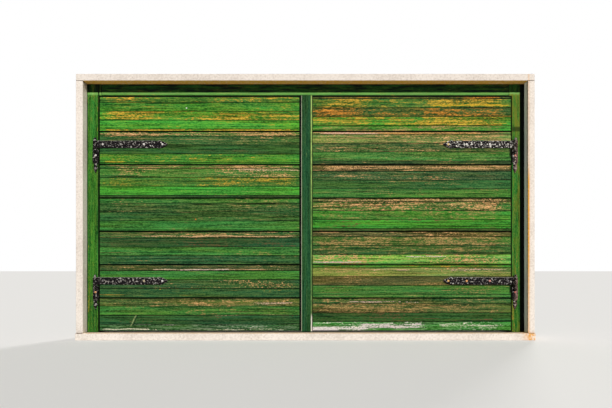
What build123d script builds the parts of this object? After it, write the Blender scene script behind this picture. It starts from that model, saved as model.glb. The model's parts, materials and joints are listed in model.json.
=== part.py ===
from build123d import *
import math
import os

# Window shutters: a stone surround, a rebated timber frame and two boarded leaves on strap hinges.
# Millimetres. +Z is up, -Y faces the street and the origin is under the middle of the sill.
# A side of 1 is the right leaf seen from the street, and a side of -1 is the left leaf.

# Stone surround
opening_width = 1960.0
opening_height = 1112.0
slab_thickness = 30.0
sill_depth = 160.0
sill_projection = 10.0
stone_arris = 1.5

# Timber frame
reveal_depth = 50.0
post_face = 53.0
head_face = 52.0
rebate_width = 13.0
frame_depth = 70.0
frame_arris = 2.0
tenon_length = 30.0
tenon_thickness = 22.0
tenon_height = 38.0

# Gaps round and between the leaves
side_gap = 3.5
top_gap = 3.0
bottom_gap = 4.0
meeting_gap = 4.0
rebate_gap = 0.5

# Boards, tongued and grooved, each glued up from narrow laths
board_count = 7
board_thickness = 28.0
top_board_extra = 6.5
board_joint = 4.5
board_arris = 1.5
tongue_thickness = 9.0
groove_depth = 8.0
tongue_clearance = 0.5
lath_width = 40.0
seam_depth = 0.8
crack_depth = 2.0
seam_edge_margin = 7.0
left_seam_starts = [27.0, 22.0, 18.0, 24.0, 31.0, 28.0, 38.0]
right_seam_starts = [11.0, 14.0, 30.0, 18.0, 24.0, 14.0, 27.0]
left_cracked_boards = [5, 6]
right_cracked_boards = [3]

# Battens across the back of each leaf
batten_width = 70.0
batten_thickness = 22.0
batten_arris = 4.0
batten_frame_clearance = 8.0
batten_bottom_clearance = 20.0
batten_meeting_inset = 8.0
middle_batten_from_centre = 486.0

# Cover strip on the right leaf, lapped over the left one
strip_left_lap = 18.0
strip_right_lap = 30.0
strip_thickness = 15.0
strip_arris = 3.0
strip_clearance = 0.6

# Strap hinges on pintles
hinge_boards = [2, 6]
upper_strap_drop = 60.0
lower_strap_drop = 74.0
hinge_names = ["upper", "lower"]
axis_from_post_edge = 13.0
strap_thickness = 4.0
strap_width = 33.0
strap_length = 324.0
spear_width = 36.0
spear_length = 38.0
spear_neck_width = 30.0
spear_neck_length = 12.0
spear_fullness = 0.33
strap_nail_shares = [0.10, 0.35, 0.67, 0.925]
eye_face_gap = 1.0
eye_slit = 0.8
eye_slit_angle = 30.0
pin_radius = 5.0
pin_clearance = 0.3
eye_lift = 0.3
strap_edge_break = 0.8

# Pintle plates
plate_width = 25.0
plate_thickness = 4.0
plate_top_gap = 3.0
plate_shoulder = 6.0
plate_body_length = 57.0
plate_neck_length = 17.0
plate_neck_width = 15.0
plate_bulge_width = 19.0
plate_bulge_length = 14.0
plate_tip_length = 22.0
lug_inset = 0.8
lug_length = 24.0
lug_point_length = 7.0
lug_point_radius = 3.5
lug_sides = 12
plate_upper_nail_drop = 50.0
plate_lower_nail_drop = 108.0

# Hinge pins
pin_foot_width = 6.0
pin_foot_length = 12.0
pin_foot_clearance = 0.1
pin_neck_height = 3.0
knob_radius = 6.0
knob_height = 9.0
knob_waist_rise = 2.0
knob_crown_radius = 3.2
knob_crown_height = 3.0
knob_sides = 12

# Nails with square shanks: round hammered heads on the iron, square ones on the timber
nail_width = 4.0
nail_hole_clearance = 0.3
nail_point_length = 6.0
nail_tip_width = 1.5
rose_radius = 5.0
rose_height = 2.8
rose_crown_radius = 3.0
rose_crown_height = 1.6
rose_sides = 12
strap_nail_length = 26.0
plate_nail_length = 34.0
batten_nail_length = 36.0
batten_nail_head_width = 9.0
batten_nail_head_height = 2.5
batten_nail_rise = 46.0
facet_angle = 35.0
spike_width = 6.0
spike_head_width = 13.0
spike_head_height = 3.0
spike_bite = 15.0
spike_end_distance = 170.0

# Turning hook and its stud, on the back of the leaves at half height
hook_thickness = 4.0
hook_width = 12.0
hook_eye_radius = 9.0
hook_jaw_radius = 12.0
hook_sides = 16
hook_slot_clearance = 0.9
hook_gap = 0.4
hook_nail_clearance = 0.5
hook_washer_width = 14.0
hook_pivot_radius = 3.0
hook_pivot_clearance = 0.3
hook_stud_radius = 3.5
hook_head_radius = 7.0
hook_head_height = 3.0
hook_head_sides = 8
hook_shank_width = 5.0
hook_shank_depth = 18.0

# Places that follow from the sizes above
opening_half = opening_width / 2
stone_half = opening_half + slab_thickness
stone_back = sill_depth / 2
stone_front = sill_projection - stone_back
opening_bottom = slab_thickness
opening_top = opening_bottom + opening_height
timber_front = stone_front + reveal_depth
frame_back = timber_front + frame_depth
post_edge = opening_half - post_face
post_inner = post_edge - rebate_width
head_bottom = opening_top - head_face
head_inner = head_bottom - rebate_width
leaf_outer = post_edge - side_gap
leaf_inner = meeting_gap / 2
leaf_width = leaf_outer - leaf_inner
leaf_top = head_bottom - top_gap
leaf_bottom = opening_bottom + bottom_gap
leaf_back = timber_front + board_thickness
rebate_back = leaf_back + rebate_gap
board_pitch = (leaf_top - leaf_bottom - top_board_extra) / board_count
batten_back = leaf_back + batten_thickness
batten_top = head_inner - batten_frame_clearance
batten_bottom = leaf_bottom + batten_bottom_clearance
hinge_batten_centre = post_inner - batten_frame_clearance - batten_width / 2
meeting_batten_centre = leaf_inner + batten_meeting_inset + batten_width / 2
batten_centres = [hinge_batten_centre, middle_batten_from_centre, meeting_batten_centre]
axis_x = post_edge + axis_from_post_edge
pin_hole_radius = pin_radius + pin_clearance
eye_radius = pin_hole_radius + strap_thickness
axis_y = timber_front - eye_radius - eye_face_gap
nail_hole_width = nail_width + 2 * nail_hole_clearance
spike_hole_width = spike_width + 2 * nail_hole_clearance
hook_washer_thickness = batten_nail_head_height + hook_nail_clearance
side_names = {-1: "left", 1: "right"}
seam_starts = {-1: left_seam_starts, 1: right_seam_starts}
cracked_boards = {-1: left_cracked_boards, 1: right_cracked_boards}


def board_top(number):
    if number == 1:
        return leaf_top
    return leaf_top - top_board_extra - (number - 1) * board_pitch


def board_bottom(number):
    return board_top(number + 1)


strap_drops = [upper_strap_drop, lower_strap_drop]
strap_heights = [board_top(number) - drop for number, drop in zip(hinge_boards, strap_drops)]
strap_nail_places = [share * strap_length for share in strap_nail_shares]
plate_nail_drops = [plate_upper_nail_drop, plate_lower_nail_drop]
board_numbers = range(1, board_count + 1)
batten_nail_heights = [board_bottom(number) + batten_nail_rise for number in board_numbers]
spike_y = (rebate_back + frame_back) / 2
post_spike_heights = [
    opening_bottom + spike_end_distance,
    (opening_bottom + head_inner) / 2,
    head_inner - spike_end_distance,
]
head_spike_places = [spike_end_distance - post_inner, 0.0, post_inner - spike_end_distance]
os.makedirs("parts", exist_ok=True)


def save(piece, name):
    piece.part.label = name
    export_step(piece.part, f"parts/{name}.step")


def front_plane(y):
    # Drawn on as seen from the street, with X to the right and Z up
    return Plane.XZ.offset(-y)


# Stone slabs

def slab(x_low, x_high, z_low, z_high, y_low):
    with BuildPart() as stone:
        with BuildSketch(Plane.XY.offset(z_low)):
            with Locations(((x_low + x_high) / 2, (y_low + stone_back) / 2)):
                Rectangle(x_high - x_low, stone_back - y_low)
        extrude(amount=z_high - z_low)
        chamfer(stone.edges(), stone_arris)
    return stone


sill = slab(-stone_half, stone_half, 0, opening_bottom, -stone_back)
save(sill, "stone_sill")

with BuildPart() as lintel:
    add(slab(-stone_half, stone_half, opening_top, opening_top + slab_thickness, stone_front).part)
    with BuildSketch(Plane.XY.offset(opening_top)):
        with Locations(*[(x, spike_y) for x in head_spike_places]):
            Rectangle(spike_hole_width, spike_hole_width)
    extrude(amount=spike_bite, mode=Mode.SUBTRACT)
save(lintel, "stone_lintel")

for side in (-1, 1):
    edges = sorted((side * opening_half, side * stone_half))
    with BuildPart() as jamb:
        add(slab(*edges, opening_bottom, opening_top, stone_front).part)
        with BuildSketch(Plane.YZ.offset(side * opening_half)):
            with Locations(*[(spike_y, z) for z in post_spike_heights]):
                Rectangle(spike_hole_width, spike_hole_width)
        extrude(amount=side * spike_bite, mode=Mode.SUBTRACT)
    save(jamb, f"stone_jamb_{side_names[side]}")


# Timber frame: full height posts with the head tenoned between them

tenon_z = (head_inner + opening_top) / 2
tenon_y = (rebate_back + frame_back) / 2
plate_nail_heights = [height - drop for height in strap_heights for drop in plate_nail_drops]

for side in (-1, 1):
    with BuildPart() as post:
        with BuildSketch(Plane.XY.offset(opening_bottom)) as post_section:
            with Locations((side * (post_inner + opening_half) / 2, (timber_front + frame_back) / 2)):
                Rectangle(opening_half - post_inner, frame_depth)
            chamfer(post_section.vertices(), frame_arris)
        extrude(amount=opening_height)
        # Rebate for the leaf, stopped under the head
        with BuildSketch(Plane.XY.offset(opening_bottom)):
            with Locations((side * (post_inner + post_edge) / 2, (timber_front + rebate_back) / 2)):
                Rectangle(rebate_width, rebate_back - timber_front)
        extrude(amount=head_bottom - opening_bottom, mode=Mode.SUBTRACT)
        # Mortise for the tenon of the head
        with BuildSketch(Plane.YZ.offset(side * post_inner)):
            with Locations((tenon_y, tenon_z)):
                Rectangle(tenon_thickness, tenon_height)
        extrude(amount=side * tenon_length, mode=Mode.SUBTRACT)
        # Holes for the spikes into the stone
        with BuildSketch(Plane.YZ.offset(side * post_inner)):
            with Locations(*[(spike_y, z) for z in post_spike_heights]):
                Rectangle(spike_hole_width, spike_hole_width)
        extrude(amount=side * (opening_half - post_inner), mode=Mode.SUBTRACT)
        # Holes for the nails of the pintle plates
        with BuildSketch(front_plane(timber_front)):
            with Locations(*[(side * axis_x, z) for z in plate_nail_heights]):
                Rectangle(nail_hole_width, nail_hole_width)
        extrude(amount=plate_thickness - plate_nail_length, mode=Mode.SUBTRACT)
    save(post, f"frame_post_{side_names[side]}")

with BuildPart() as head:
    with BuildSketch(Plane.YZ.offset(-post_inner)) as head_section:
        with Locations(((timber_front + frame_back) / 2, tenon_z)):
            Rectangle(frame_depth, opening_top - head_inner)
        chamfer(head_section.vertices(), frame_arris)
        with Locations(((timber_front + rebate_back) / 2, (head_inner + head_bottom) / 2)):
            Rectangle(rebate_back - timber_front, rebate_width, mode=Mode.SUBTRACT)
    extrude(amount=2 * post_inner)
    with Locations((0, tenon_y, tenon_z)):
        Box(2 * (post_inner + tenon_length), tenon_thickness, tenon_height)
    with BuildSketch(Plane.XY.offset(head_inner)):
        with Locations(*[(x, spike_y) for x in head_spike_places]):
            Rectangle(spike_hole_width, spike_hole_width)
    extrude(amount=opening_top - head_inner, mode=Mode.SUBTRACT)
save(head, "frame_head")


# Boards

def strap_nail_points(side, number):
    if number not in hinge_boards:
        return []
    z = strap_heights[hinge_boards.index(number)]
    return [(side * (axis_x - place), z) for place in strap_nail_places]


def seam_heights(side, number):
    first = board_top(number) - seam_starts[side][number - 1]
    lowest = board_bottom(number) + seam_edge_margin
    count = max(0, int((first - lowest) / lath_width) + 1)
    return [first - step * lath_width for step in range(count)]


def board(side, number):
    top = board_top(number)
    bottom = board_bottom(number)
    shoulder = top if number == 1 else top - board_joint
    middle_y = (timber_front + leaf_back) / 2
    inner_end = leaf_inner if side == 1 else -leaf_outer
    with BuildPart() as plank:
        with BuildSketch(Plane.YZ.offset(inner_end)) as section:
            with Locations((middle_y, (bottom + shoulder) / 2)):
                Rectangle(board_thickness, shoulder - bottom)
            chamfer(section.vertices(), board_arris)
            if number > 1:
                tongue_top = top + groove_depth - tongue_clearance
                with Locations((middle_y, (shoulder + tongue_top) / 2)):
                    Rectangle(tongue_thickness, tongue_top - shoulder)
            if number < board_count:
                with Locations((middle_y, bottom + groove_depth / 2)):
                    Rectangle(tongue_thickness + 2 * tongue_clearance, groove_depth, mode=Mode.SUBTRACT)
            # Seams between the glued laths, the first of a cracked board standing open
            for index, z in enumerate(seam_heights(side, number)):
                is_crack = index == 0 and number in cracked_boards[side]
                depth = crack_depth if is_crack else seam_depth
                with Locations((timber_front, z)):
                    Rectangle(depth * math.sqrt(2), depth * math.sqrt(2), rotation=45, mode=Mode.SUBTRACT)
        extrude(amount=leaf_width)
        points = strap_nail_points(side, number)
        if points:
            with BuildSketch(front_plane(timber_front)):
                with Locations(*points):
                    Rectangle(nail_hole_width, nail_hole_width)
            extrude(amount=strap_thickness - strap_nail_length, mode=Mode.SUBTRACT)
        with BuildSketch(front_plane(leaf_back)):
            height = batten_nail_heights[number - 1]
            with Locations(*[(side * x, height) for x in batten_centres]):
                Rectangle(nail_hole_width, nail_hole_width)
        extrude(amount=batten_nail_length - batten_thickness, mode=Mode.SUBTRACT)
    return plank


for side in (-1, 1):
    for number in board_numbers:
        save(board(side, number), f"{side_names[side]}_board_{number}")


# Battens

hook_height = (leaf_top + leaf_bottom) / 2
batten_names = ["hinge", "middle", "meeting"]

for side in (-1, 1):
    for batten_name, centre in zip(batten_names, batten_centres):
        with BuildPart() as batten:
            with BuildSketch(front_plane(leaf_back)):
                with Locations((side * centre, (batten_bottom + batten_top) / 2)):
                    Rectangle(batten_width, batten_top - batten_bottom)
            extrude(amount=-batten_thickness)
            chamfer(batten.faces().sort_by(Axis.Y)[-1].edges(), batten_arris)
            with BuildSketch(front_plane(batten_back)):
                with Locations(*[(side * centre, z) for z in batten_nail_heights]):
                    Rectangle(nail_hole_width, nail_hole_width)
            extrude(amount=batten_thickness, mode=Mode.SUBTRACT)
            if batten_name == "meeting":
                with BuildSketch(front_plane(batten_back)):
                    with Locations((side * centre, hook_height)):
                        Rectangle(hook_shank_width, hook_shank_width)
                extrude(amount=hook_shank_depth, mode=Mode.SUBTRACT)
        save(batten, f"{side_names[side]}_batten_{batten_name}")


# Cover strip, undercut where it laps the left leaf

with BuildPart() as strip:
    with BuildSketch(Plane.XY.offset(leaf_bottom)) as strip_section:
        with Locations(((strip_right_lap - strip_left_lap) / 2, timber_front - strip_thickness / 2)):
            Rectangle(strip_left_lap + strip_right_lap, strip_thickness)
        chamfer(strip_section.vertices().group_by(Axis.Y)[0], strip_arris)
        with Locations(((leaf_inner - strip_left_lap) / 2, timber_front - strip_clearance / 2)):
            Rectangle(leaf_inner + strip_left_lap, strip_clearance, mode=Mode.SUBTRACT)
    extrude(amount=leaf_top - leaf_bottom)
save(strip, "cover_strip")


# Lugs, knobs and nail heads are forged in flat facets: a many sided bar standing on Z = 0,
# each end of which can be drawn in to a smaller radius over a length

def forged_bar(radius, sides, length, bottom_end=None, top_end=None):
    with BuildPart() as bar:
        with BuildSketch(Plane.XY):
            RegularPolygon(radius, sides)
        extrude(amount=length)
        for drawn_end, index in ((bottom_end, 0), (top_end, -1)):
            if drawn_end:
                end_radius, end_length = drawn_end
                end_face = bar.faces().sort_by(Axis.Z)[index]
                inset = (radius - end_radius) * math.cos(math.pi / sides)
                chamfer(end_face.edges(), inset, end_length, reference=end_face)
    return bar


# Strap hinges: the band is rolled into an eye at one end and drawn to a spear at the other.
# The hinge forms are drawn for a right leaf, with the pin axis at X = 0 and the strap's middle at Z = 0.

band_front = timber_front - strap_thickness
eye_back = axis_y + eye_radius
joggle_start = -pin_radius
joggle_end = joggle_start - 2 * strap_thickness
spear_tip = -strap_length
spear_start = spear_tip + spear_length
neck_start = spear_start + spear_neck_length
neck_end = neck_start + spear_neck_length
slit_centre = (eye_radius + pin_hole_radius) / 2
slit_angle = math.radians(eye_slit_angle)

with BuildPart() as strap_form:
    with BuildSketch(Plane.XY.offset(-spear_width / 2)):
        with BuildLine():
            Polyline(
                (0, eye_back),
                (joggle_start, eye_back),
                (joggle_end, timber_front),
                (spear_tip, timber_front),
                (spear_tip, band_front),
                (joggle_end, band_front),
                (joggle_start, eye_back - strap_thickness),
                (0, eye_back - strap_thickness),
                close=True,
            )
        make_face()
        with Locations((0, axis_y)):
            Circle(eye_radius)
            Circle(pin_hole_radius, mode=Mode.SUBTRACT)
        # The end of the roll stops just short of the band
        slit_place = (-slit_centre * math.cos(slit_angle), axis_y + slit_centre * math.sin(slit_angle))
        with Locations(slit_place):
            Rectangle(2 * strap_thickness, eye_slit, rotation=-eye_slit_angle, mode=Mode.SUBTRACT)
    extrude(amount=spear_width)
    with BuildSketch(front_plane(axis_y - eye_radius)):
        with BuildLine():
            Polyline(
                (spear_tip, 0),
                (eye_radius, 0),
                (eye_radius, strap_width / 2),
                (neck_end, strap_width / 2),
            )
            Line((neck_end, strap_width / 2), (neck_start, spear_neck_width / 2))
            Line((neck_start, spear_neck_width / 2), (spear_start, spear_width / 2))
            side_middle = ((spear_start + spear_tip) / 2, spear_width * spear_fullness)
            ThreePointArc((spear_start, spear_width / 2), side_middle, (spear_tip, 0))
        make_face()
        mirror(about=Plane.XZ)
    extrude(amount=axis_y - eye_radius - timber_front, mode=Mode.INTERSECT)
    front_face = strap_form.faces().filter_by(Axis.Y).sort_by(Axis.Y)[0]
    rim = front_face.edges().filter_by(lambda edge: edge.center().X < joggle_end - strap_edge_break)
    chamfer(rim, strap_edge_break)
    with BuildSketch(front_plane(timber_front)):
        with Locations(*[(-place, 0) for place in strap_nail_places]):
            Rectangle(nail_hole_width, nail_hole_width)
    extrude(amount=strap_thickness, mode=Mode.SUBTRACT)


# Pintle plates: a spear tailed plate with a forged lug that holds the pin

lug_radius = eye_radius - lug_inset
lug_top = -strap_width / 2 - eye_lift
plate_top = -strap_width / 2 - plate_top_gap
plate_body_end = plate_top - plate_body_length
plate_neck = plate_body_end - plate_neck_length
plate_bulge = plate_neck - plate_bulge_length
plate_tip = plate_bulge - plate_tip_length
pin_socket_width = pin_foot_width + 2 * pin_foot_clearance

with BuildPart() as pintle_form:
    with BuildSketch(front_plane(timber_front)) as plate_outline:
        with BuildLine():
            Polyline((0, plate_tip), (0, plate_top), (plate_width / 2, plate_top))
            Line((plate_width / 2, plate_top), (plate_width / 2, plate_body_end))
            Line((plate_width / 2, plate_body_end), (plate_neck_width / 2, plate_neck))
            Line((plate_neck_width / 2, plate_neck), (plate_bulge_width / 2, plate_bulge))
            Line((plate_bulge_width / 2, plate_bulge), (0, plate_tip))
        make_face()
        mirror(about=Plane.YZ)
        chamfer(plate_outline.vertices().group_by(Axis.Y)[-1], plate_shoulder)
    extrude(amount=plate_thickness)
    # Lug, hammered nearly round below the eye and drawn to a blunt point
    lug = forged_bar(lug_radius, lug_sides, lug_length, bottom_end=(lug_point_radius, lug_point_length))
    with Locations((0, axis_y, lug_top - lug_length)):
        add(lug.part)
    with BuildSketch(Plane.XY.offset(lug_top)):
        with Locations((0, (axis_y + timber_front) / 2)):
            Rectangle(2 * lug_point_radius, timber_front - axis_y)
    extrude(amount=-lug_length)
    with BuildSketch(Plane.XY.offset(lug_top)):
        with Locations((0, axis_y)):
            Rectangle(pin_socket_width, pin_socket_width)
    extrude(amount=-pin_foot_length, mode=Mode.SUBTRACT)
    with BuildSketch(front_plane(timber_front)):
        with Locations(*[(0, -drop) for drop in plate_nail_drops]):
            Rectangle(nail_hole_width, nail_hole_width)
    extrude(amount=plate_thickness, mode=Mode.SUBTRACT)

knob_bottom = strap_width / 2 + pin_neck_height
knob = forged_bar(
    knob_radius,
    knob_sides,
    knob_height,
    bottom_end=(pin_radius, knob_waist_rise),
    top_end=(knob_crown_radius, knob_crown_height),
)

with BuildPart() as pin_form:
    with BuildSketch(Plane.XY.offset(lug_top)):
        with Locations((0, axis_y)):
            Circle(pin_radius)
    extrude(amount=knob_bottom - lug_top)
    with Locations((0, axis_y, knob_bottom)):
        add(knob.part)
    with BuildSketch(Plane.XY.offset(lug_top)):
        with Locations((0, axis_y)):
            Rectangle(pin_foot_width, pin_foot_width)
    extrude(amount=-pin_foot_length)


def save_group(form, places, name):
    with BuildPart() as group:
        with Locations(*places):
            add(form.part)
    save(group, name)


for side in (-1, 1):
    for hinge_name, height in zip(hinge_names, strap_heights):
        for form_name, form in (("strap", strap_form), ("pintle", pintle_form)):
            with BuildPart() as placed:
                with Locations((axis_x, 0, height)):
                    add(form.part)
                if side == -1:
                    mirror(about=Plane.YZ, mode=Mode.REPLACE)
            save(placed, f"{form_name}_{side_names[side]}_{hinge_name}")

pin_places = [(side * axis_x, 0, height) for side in (-1, 1) for height in strap_heights]
save_group(pin_form, pin_places, "hinge_pins")


# Nails and spikes, drawn with the seat of the head at Z = 0 and the shank running down

def shank(length, width):
    taper = math.degrees(math.atan((width - nail_tip_width) / 2 / nail_point_length))
    with BuildPart() as stem:
        with BuildSketch(Plane.XY):
            Rectangle(width, width)
        extrude(amount=nail_point_length - length)
        with BuildSketch(Plane.XY.offset(nail_point_length - length)):
            Rectangle(width, width)
        extrude(amount=-nail_point_length, taper=taper)
    return stem


rose_head = forged_bar(rose_radius, rose_sides, rose_height, top_end=(rose_crown_radius, rose_crown_height))


def rose_nail(length):
    with BuildPart() as nail:
        add(shank(length, nail_width).part)
        add(rose_head.part)
    return nail


def faceted_nail(length, width, head_width, head_height):
    with BuildPart() as nail:
        add(shank(length, width).part)
        with BuildSketch(Plane.XY):
            Rectangle(head_width, head_width)
        extrude(amount=head_height, taper=facet_angle)
    return nail


strap_nail = rose_nail(strap_nail_length)
plate_nail = rose_nail(plate_nail_length)
batten_nail = faceted_nail(batten_nail_length, nail_width, batten_nail_head_width, batten_nail_head_height)
post_spike_length = opening_half - post_inner + spike_bite
post_spike = faceted_nail(post_spike_length, spike_width, spike_head_width, spike_head_height)
head_spike_length = opening_top - head_inner + spike_bite
head_spike = faceted_nail(head_spike_length, spike_width, spike_head_width, spike_head_height)

for side in (-1, 1):
    strap_places = [
        Plane(origin=(side * (axis_x - place), band_front, height), x_dir=(1, 0, 0), z_dir=(0, -1, 0))
        for height in strap_heights
        for place in strap_nail_places
    ]
    save_group(strap_nail, strap_places, f"strap_nails_{side_names[side]}")
    batten_places = [
        Plane(origin=(side * centre, batten_back, height), x_dir=(1, 0, 0), z_dir=(0, 1, 0))
        for height in batten_nail_heights
        for centre in batten_centres
    ]
    save_group(batten_nail, batten_places, f"batten_nails_{side_names[side]}")

plate_front = timber_front - plate_thickness
plate_places = [
    Plane(origin=(side * axis_x, plate_front, height), x_dir=(1, 0, 0), z_dir=(0, -1, 0))
    for side in (-1, 1)
    for height in plate_nail_heights
]
save_group(plate_nail, plate_places, "pintle_nails")
post_places = [
    Plane(origin=(side * post_inner, spike_y, z), x_dir=(0, 1, 0), z_dir=(-side, 0, 0))
    for side in (-1, 1)
    for z in post_spike_heights
]
save_group(post_spike, post_places, "post_spikes")
head_places = [
    Plane(origin=(x, spike_y, head_inner), x_dir=(1, 0, 0), z_dir=(0, 0, -1)) for x in head_spike_places
]
save_group(head_spike, head_places, "head_spikes")


# Turning hook: it hangs from its pivot, and swung over the top it drops onto the stud

hook_reach = 2 * meeting_batten_centre
hook_front = batten_back + hook_washer_thickness + hook_gap
hook_back = hook_front + hook_thickness
slot_width = 2 * (hook_stud_radius + hook_slot_clearance)

with BuildPart() as hook:
    with BuildSketch(front_plane(hook_front)):
        with Locations((meeting_batten_centre, hook_height)):
            RegularPolygon(hook_eye_radius, hook_sides)
        with Locations((meeting_batten_centre, hook_height - hook_reach / 2)):
            Rectangle(hook_width, hook_reach)
        with Locations((meeting_batten_centre, hook_height - hook_reach)):
            RegularPolygon(hook_jaw_radius, hook_sides)
            Circle(slot_width / 2, mode=Mode.SUBTRACT)
        with Locations((meeting_batten_centre + hook_jaw_radius, hook_height - hook_reach)):
            Rectangle(2 * hook_jaw_radius, slot_width, mode=Mode.SUBTRACT)
        with Locations((meeting_batten_centre, hook_height)):
            Circle(hook_pivot_radius + hook_pivot_clearance, mode=Mode.SUBTRACT)
    extrude(amount=-hook_thickness)
save(hook, "turning_hook")


def hook_pin(x, radius, has_washer):
    neck = hook_back + hook_gap - batten_back
    with BuildPart() as pin:
        with BuildSketch(front_plane(batten_back)):
            with Locations((x, hook_height)):
                Rectangle(hook_shank_width, hook_shank_width)
        extrude(amount=hook_shank_depth)
        with BuildSketch(front_plane(batten_back)):
            with Locations((x, hook_height)):
                Circle(radius)
        extrude(amount=-neck)
        with BuildSketch(front_plane(batten_back + neck)):
            with Locations((x, hook_height)):
                RegularPolygon(hook_head_radius, hook_head_sides)
        extrude(amount=-hook_head_height)
        if has_washer:
            with BuildSketch(front_plane(batten_back)):
                with Locations((x, hook_height)):
                    Rectangle(hook_washer_width, hook_washer_width)
            extrude(amount=-hook_washer_thickness)
    return pin


save(hook_pin(meeting_batten_centre, hook_pivot_radius, True), "hook_pivot")
save(hook_pin(-meeting_batten_centre, hook_stud_radius, False), "hook_stud")
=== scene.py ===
import json
import math
import bmesh
import bpy
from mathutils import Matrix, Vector, noise

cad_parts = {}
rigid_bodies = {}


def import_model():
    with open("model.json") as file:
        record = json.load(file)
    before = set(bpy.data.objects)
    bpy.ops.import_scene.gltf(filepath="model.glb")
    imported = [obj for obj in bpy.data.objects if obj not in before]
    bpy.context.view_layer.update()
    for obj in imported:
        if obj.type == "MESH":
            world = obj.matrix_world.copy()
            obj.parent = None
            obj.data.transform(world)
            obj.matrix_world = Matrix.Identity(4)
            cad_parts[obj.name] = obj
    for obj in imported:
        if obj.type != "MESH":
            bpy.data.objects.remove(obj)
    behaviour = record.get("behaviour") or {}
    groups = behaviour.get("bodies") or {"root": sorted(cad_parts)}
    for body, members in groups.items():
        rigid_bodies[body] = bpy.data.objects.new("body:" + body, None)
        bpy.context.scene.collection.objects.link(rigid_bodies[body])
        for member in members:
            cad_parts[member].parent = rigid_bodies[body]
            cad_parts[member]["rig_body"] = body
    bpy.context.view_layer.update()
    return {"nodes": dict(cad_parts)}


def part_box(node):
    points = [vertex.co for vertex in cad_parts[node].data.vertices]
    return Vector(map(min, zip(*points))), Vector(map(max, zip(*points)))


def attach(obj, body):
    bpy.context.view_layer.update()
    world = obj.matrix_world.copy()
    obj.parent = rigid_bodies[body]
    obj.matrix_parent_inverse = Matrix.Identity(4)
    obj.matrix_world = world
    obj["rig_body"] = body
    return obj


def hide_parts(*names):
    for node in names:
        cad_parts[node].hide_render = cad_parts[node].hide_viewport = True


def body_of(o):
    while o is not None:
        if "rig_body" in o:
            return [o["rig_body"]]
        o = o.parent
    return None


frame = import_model()
nodes = frame["nodes"]
sideNames = ("left", "right")
levelNames = ("upper", "lower")


def hexColour(text):
    # six hex digits as a painter would write them, in Blender's linear light
    parts = [int(text[i:i + 2], 16) / 255 for i in (0, 2, 4)]
    linear = [c / 12.92 if c <= 0.04045 else ((c + 0.055) / 1.055) ** 2.4 for c in parts]
    return (*linear, 1.0)


class Wiring:
    # short hand for placing and linking shader nodes in one tree

    def __init__(self, tree):
        self.tree = tree

    def add(self, kind, settings=None, **inputs):
        node = self.tree.nodes.new(kind)
        for key, value in (settings or {}).items():
            setattr(node, key, value)
        return self.give(node, **inputs)

    def give(self, node, **inputs):
        for key, value in inputs.items():
            self.feed(node.inputs[key.replace("_", " ")], value)
        return node

    def feed(self, socket, value):
        # a socket is linked, six hex digits are read as a colour, and anything else is set as it is
        if isinstance(value, bpy.types.NodeSocket):
            self.tree.links.new(value, socket)
        else:
            socket.default_value = hexColour(value) if isinstance(value, str) else value

    def feedEach(self, node, *values):
        for socket, value in zip(node.inputs, values):
            self.feed(socket, value)
        return node.outputs

    def math(self, operation, *values, clamp=False):
        node = self.add("ShaderNodeMath", {"operation": operation, "use_clamp": clamp})
        return self.feedEach(node, *values)[0]

    def vectorMath(self, operation, first, second):
        node = self.add("ShaderNodeVectorMath", {"operation": operation})
        return self.feedEach(node, first, second)

    def spread(self, value, low, high, newLow=0.0, newHigh=1.0, smooth=True):
        node = self.add("ShaderNodeMapRange", {"interpolation_type": "SMOOTHSTEP" if smooth else "LINEAR"})
        return self.feedEach(node, value, low, high, newLow, newHigh)[0]

    def fall(self, value, low, high):
        # 1 below the low end, falling to 0 at the high end
        return self.spread(value, low, high, 1.0, 0.0)

    def near(self, value, centre, reach, softness):
        # 1 within reach of the centre, falling to 0 over the softness
        away = self.math("ABSOLUTE", self.math("SUBTRACT", value, centre))
        return self.fall(away, reach, reach + softness)

    def between(self, value, start, end, inset, softness):
        # 1 from start to end, less an inset at both, falling to 0 over the softness
        return self.near(value, (start + end) / 2, (end - start) / 2 - inset, softness)

    def joined(self, operation, values):
        result = values[0]
        for value in values[1:]:
            result = self.math(operation, result, value)
        return result

    def times(self, *values):
        return self.joined("MULTIPLY", values)

    def most(self, *values):
        return self.joined("MAXIMUM", values)

    def weighed(self, values, weights):
        # the sum of the named values, each times its weight
        total = 0.0
        for name, weight in weights.items():
            total = self.math("MULTIPLY_ADD", values[name], weight, total)
        return total

    def blend(self, share, first, second, kind="MIX"):
        # a Mix node of colours has its share in socket 0, the colours in 6 and 7 and the result in 2
        node = self.add("ShaderNodeMix", {"data_type": "RGBA", "blend_type": kind})
        for index, value in ((0, share), (6, first), (7, second)):
            self.feed(node.inputs[index], value)
        return node.outputs[2]

    def tint(self, colour, shade):
        grey = self.add("ShaderNodeCombineXYZ", X=shade, Y=shade, Z=shade).outputs[0]
        return self.blend(1.0, colour, grey, "MULTIPLY")

    def ramp(self, value, stops):
        # a stepped ramp, where each stop holds its colour up to the next
        node = self.add("ShaderNodeValToRGB", Fac=value)
        node.color_ramp.interpolation = "CONSTANT"
        elements = node.color_ramp.elements
        elements.remove(elements[1])
        elements[0].position, elements[0].color = stops[0]
        for position, rgba in stops[1:]:
            elements.new(position).color = rgba
        return node.outputs

    def bump(self, height, distance, strength):
        return self.add("ShaderNodeBump", Height=height, Distance=distance, Strength=strength).outputs[0]

    def place(self, group, **inputs):
        return self.add("ShaderNodeGroup", {"node_tree": group}, **inputs).outputs

    def axes(self, vector):
        return tuple(self.add("ShaderNodeSeparateXYZ", Vector=vector).outputs)


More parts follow.
